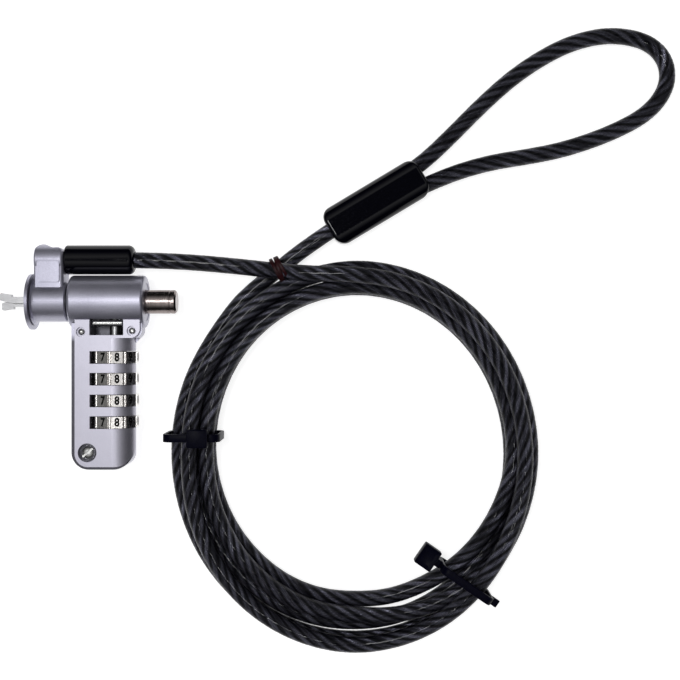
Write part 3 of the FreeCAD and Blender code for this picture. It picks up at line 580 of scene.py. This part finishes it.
def paint(name, dark, light, roughness, grain, rim_shade_amount):
    """Sprayed paint, as deep as grain in metres; the last argument is the share of painted shade on
    the rim round the cover.
    """
    material, tree, shader = new_finish(name, IOR=1.5, Coat_Roughness=0.22)
    place = place_on(tree)
    flakes = noise(place, 5200.0, 2.0, 0.7)
    skin = noise(place, 900.0, 3.0, 0.55)
    clouds = noise(place, 90.0, 3.0, 0.6)
    tone = (flakes.ramp(0.3, 0.7) * 0.55 + clouds.ramp(0.3, 0.7) * 0.45)
    colour = tone.mix((*dark, 1.0), (*light, 1.0))
    parts = place.node("ShaderNodeSeparateXYZ", {"Vector": place})
    x, y, z = (Value(tree, parts.socket.node.outputs[axis]) for axis in range(3))
    # Painted shade: a near black mixed into the inside of the notch, where shade falls.
    notch_shade = between(x, NOTCH_X) * between(y, NOTCH_Y) * (1 - z.ramp(0.01185, 0.01200))
    # Painted shade: a near black mixed into the rim round the cover, where the housing falls away
    # from the light.
    rim_shade_mask = z.ramp(0.0104, 0.0118) * (1 - y.ramp(0.0040, 0.0060))
    colour = (notch_shade * 0.88).mix(colour, (*PAINTED_SHADE, 1.0))
    colour = (rim_shade_mask * (1 - notch_shade) * rim_shade_amount).mix(colour, (*PAINTED_SHADE, 1.0))
    rough = roughness + flakes * 0.10 + clouds * 0.08
    relief = skin * 0.7 + flakes * 0.3
    feed(tree, shader, Base_Color=colour, Roughness=rough, Normal=bump(relief, grain),
         Metallic=0.62 + flakes * 0.25, Coat_Weight=0.25 + clouds * 0.2)
    return material


finishes = {}
finishes["lock_paint"] = paint("lock_paint", (0.30, 0.295, 0.37), (0.50, 0.495, 0.59),
                               roughness=0.30, grain=0.00003, rim_shade_amount=0.92)
finishes["cover_paint"] = paint("cover_paint", (0.40, 0.39, 0.46), (0.58, 0.57, 0.66),
                                roughness=0.36, grain=0.00002, rim_shade_amount=0.0)
print("paints:", len(finishes))

# %% [markdown]
# The cable's cover is clear plastic with some black in it. What shows is the steel inside:
# strands that catch the light on their crowns, fine wires along them, and black in the hollows
# between. Real clear plastic over real wires would take long to compute and show little more,
# so the steel is painted and embossed below a smooth clear coat. The wires run almost straight
# along the cable, because they are twisted into each strand the other way.

# %% The cable's finish
def cable_finish():
    material, tree, shader = new_finish("cable_cover", IOR=1.14, Coat_Weight=0.35,
                                        Coat_Roughness=0.07, Coat_IOR=1.35)
    uv = tree.nodes.new("ShaderNodeUVMap")
    uv.uv_map = "strands"
    place = Value(tree, uv.outputs["UV"])
    parts = tree.nodes.new("ShaderNodeSeparateXYZ")
    tree.links.new(place.socket, parts.inputs[0])
    across, length = Value(tree, parts.outputs[0]), Value(tree, parts.outputs[1])
    crown = abs((across * (math.pi * STRANDS)).wave())
    wires = ((across * (2 * math.pi * 42) + length * (2 * math.pi * 30 / LAY)).wave() + 1) * 0.5
    stretched = place.node("ShaderNodeMapping", {"Vector": place, "Scale": (9.0, 110.0, 1.0)})
    patches = noise(stretched, 1.0, 4.0, 0.65).ramp(0.42, 0.72)
    shine = (crown.ramp(0.20, 1.0) ** 1.5) * (0.10 + (wires ** 2.0) * 0.90)
    metal = shine * (0.08 + patches * 0.92)
    colour = metal.mix((0.0004, 0.0004, 0.0022, 1.0), (0.38, 0.38, 0.50, 1.0))
    relief = crown * 0.5 + wires * 0.5
    feed(tree, shader, Base_Color=colour, Metallic=metal.ramp(0.02, 0.30) * 0.95,
         Roughness=0.30 - metal * 0.06, Normal=bump(relief, 0.00016))
    return material


finishes["cable_cover"] = cable_finish()
print("cable strands:", STRANDS, "lay in mm:", LAY / MM)

# %% [markdown]
# The black pieces differ by how they were made. The boot and the sleeve are glossy mouldings
# with a faint ripple, the ties are duller nylon, and the crossing tie is thin and dark red. One
# recipe makes them all: a deep colour, a little noise in it, and more or less gloss.

# %% Plastics
def plastic(name, dark, light, gloss, ripple, ripple_scale, index=1.22):
    """A plastic with a ripple so many metres deep; a higher index mirrors more."""
    material, tree, shader = new_finish(name, IOR=index)
    place = place_on(tree)
    waves = noise(place, ripple_scale, 2.0, 0.5)
    dust = noise(place, 2600.0, 3.0, 0.7)
    colour = (dust.ramp(0.45, 0.75) * 0.7 + waves * 0.3).mix((*dark, 1.0), (*light, 1.0))
    feed(tree, shader, Base_Color=colour, Roughness=gloss + dust.ramp(0.5, 0.8) * 0.12,
         Normal=bump(waves * 0.95 + dust * 0.05, ripple))
    return material


finishes["gloss_black"] = plastic("gloss_black", (0.0004, 0.0004, 0.0020), (0.0016, 0.0016, 0.0060),
                                  0.06, 0.00003, 160.0, 1.32)
finishes["tie_black"] = plastic("tie_black", (0.0008, 0.0008, 0.0050), (0.0040, 0.0040, 0.0150),
                                0.36, 0.00004, 900.0, 1.12)
finishes["tie_red"] = plastic("tie_red", (0.014, 0.002, 0.003), (0.050, 0.008, 0.011),
                              0.38, 0.00005, 1300.0)
finishes["nylon_black"] = plastic("nylon_black", (0.004, 0.004, 0.007), (0.014, 0.014, 0.020),
                                  0.42, 0.00003, 1200.0)
finishes["seal_rubber"] = plastic("seal_rubber", (0.005, 0.005, 0.006), (0.016, 0.016, 0.018),
                                  0.55, 0.00003, 1500.0)
print("plastics:", [n for n in finishes if "paint" not in n])

# %% [markdown]
# Bare metal shows how it was worked. Turned pieces have fine rings round their axis, rolled
# strip has lines along it, and plated pieces are smooth with a few hairlines. Stretching a
# noise along one direction gives such lines: the smaller its scale is on an axis, the longer
# the lines are along it.

# %% Metals
def metal(name, dark, light, roughness, lines, depth):
    """Bare metal; the axis with the smallest number in lines is the one they run along."""
    material, tree, shader = new_finish(name, Metallic=1.0)
    place = place_on(tree)
    drawn = place.node("ShaderNodeMapping", {"Vector": place, "Scale": lines})
    scratches = noise(drawn, 1.0, 4.0, 0.65)
    stains = noise(place, 260.0, 3.0, 0.6)
    tone = scratches.ramp(0.3, 0.75) * 0.6 + stains.ramp(0.3, 0.7) * 0.4
    feed(tree, shader, Base_Color=tone.mix((*dark, 1.0), (*light, 1.0)),
         Roughness=roughness + scratches.ramp(0.4, 0.8) * 0.14 + stains * 0.06,
         Normal=bump(scratches, depth))
    return material


finishes["steel"] = metal("steel", (0.30, 0.30, 0.31), (0.50, 0.50, 0.51), 0.28,
                          (600.0, 5000.0, 5000.0), 0.00001)
finishes["bright_steel"] = metal("bright_steel", (0.45, 0.45, 0.45), (0.85, 0.85, 0.84), 0.18,
                                 (700.0, 5000.0, 5000.0), 0.000006)
finishes["spring_steel"] = metal("spring_steel", (0.25, 0.25, 0.26), (0.42, 0.42, 0.43), 0.30,
                                 (2500.0, 2500.0, 2500.0), 0.00001)
finishes["button_chrome"] = metal("button_chrome", (0.17, 0.14, 0.13), (0.40, 0.35, 0.34), 0.15,
                                  (4500.0, 500.0, 500.0), 0.000006)
finishes["dial_nickel"] = metal("dial_nickel", (0.60, 0.57, 0.55), (0.93, 0.91, 0.89), 0.20,
                                (5000.0, 700.0, 5000.0), 0.000008)
finishes["brass"] = metal("brass", (0.45, 0.30, 0.10), (0.68, 0.50, 0.22), 0.26,
                          (4000.0, 500.0, 4000.0), 0.00001)
finishes["alloy"] = metal("alloy", (0.50, 0.50, 0.52), (0.72, 0.72, 0.74), 0.34,
                          (800.0, 4000.0, 4000.0), 0.00002)
figure_paint = plastic("figure_paint", (0.002, 0.002, 0.002), (0.008, 0.008, 0.008), 0.35,
                       0.00001, 2500.0)
print("finishes:", len(finishes))

# %% [markdown]
# Now each ready-made piece takes the finish that its record names, and the new pieces take
# theirs. A record keeps one finish per piece, by a slot, and the finishes above have the same
# names as the slots.

# %% Give every piece its finish
for sub in frame["record"]["subparts"]:
    mesh = nodes[sub["node"]].data
    mesh.materials.clear()
    mesh.materials.append(finishes[sub["material_slot"]])
for piece, slot in ((cable, "cable_cover"), (tie_left, "tie_black"), (tie_right, "tie_black"),
                    (crossing, "tie_red")):
    piece.data.materials.clear()
    piece.data.materials.append(finishes[slot])
for piece in figure_pieces:
    piece.data.materials.clear()
    piece.data.materials.append(figure_paint)
print("pieces with a finish:", len(nodes) + 4 + len(figure_pieces))

# %% [markdown]
# Each new piece moves with one of the lock's bodies. The cable and its ties stay with the
# collar, and the figures turn with their dials.

# %% Tie the new pieces to the frame
for piece in (cable, tie_left, tie_right, crossing):
    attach(piece, "collar")
for dial, piece in enumerate(figure_pieces, 1):
    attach(piece, "dial_%d" % dial)
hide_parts("cable_lead", "cable_coil", "cable_tail", "cable_eye")
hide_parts("coil_tie_left")
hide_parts("coil_tie_right")
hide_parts("crossing_tie")
print("cable declared at", round(CABLE_LENGTH, 3), "m")

# %% [markdown]
# The lock lies on a plain pale table under a wide soft light. The sky of the scene is bright
# half way up and dark near the horizon and right overhead. So round metal is light on its
# shoulders with dark edges, which draws its shape, and glossy black stays black on top. A soft
# lamp near the camera lights the flat faces, and two small weak ones put thin bright lines on
# the cable, the boot and the sleeve.

# %% Table and light
bpy.ops.object.select_all(action="DESELECT")
bpy.ops.mesh.primitive_plane_add(size=1.6, location=(CAMERA_PLACE[0], CAMERA_PLACE[1], -0.0001))
table = bpy.context.object
table.name = "table"
table_finish = new_finish("table", Roughness=0.9, Base_Color=(0.60, 0.60, 0.60, 1.0),
                          Emission_Color=(1.0, 1.0, 1.0, 1.0), Emission_Strength=0.80)
table.data.materials.append(table_finish[0])

world = bpy.data.worlds.new("studio")
bpy.context.scene.world = world
world.use_nodes = True
sky_tree = world.node_tree
sky = Value(sky_tree, sky_tree.nodes.new("ShaderNodeTexCoord").outputs["Generated"])
sky_parts = sky_tree.nodes.new("ShaderNodeSeparateXYZ")
sky_tree.links.new(sky.socket, sky_parts.inputs[0])
height = Value(sky_tree, sky_parts.outputs[2])
rise = height.ramp(0.35, 0.90)
cap = height.ramp(0.93, 0.975)
glow = (rise ** 2.2) * 0.74 * (1 - cap * 0.93) + 0.015
sky_tree.links.new(glow.socket, sky_tree.nodes["Background"].inputs["Strength"])
sky_tree.nodes["Background"].inputs["Color"].default_value = (1.0, 1.0, 1.0, 1.0)


def lamp(name, place, target, size, power):
    """A soft square lamp that faces a point."""
    bpy.ops.object.light_add(type="AREA", location=place)
    made = bpy.context.object
    made.name = name
    made.data.size = size
    made.data.energy = power
    made.rotation_euler = (Vector(target) - Vector(place)).to_track_quat("-Z", "Y").to_euler()
    return made


lamp("key", (-0.045, 0.075, 0.60), (0.05, 0.0, 0.0), 0.10, 0.75)
lamp("low", (-0.070, -0.030, 0.60), (0.02, 0.0, 0.0), 0.03, 0.14)
lamp("right", (0.150, -0.110, 0.60), (0.05, 0.0, 0.0), 0.03, 0.14)
bpy.context.scene.view_settings.view_transform = "Standard"
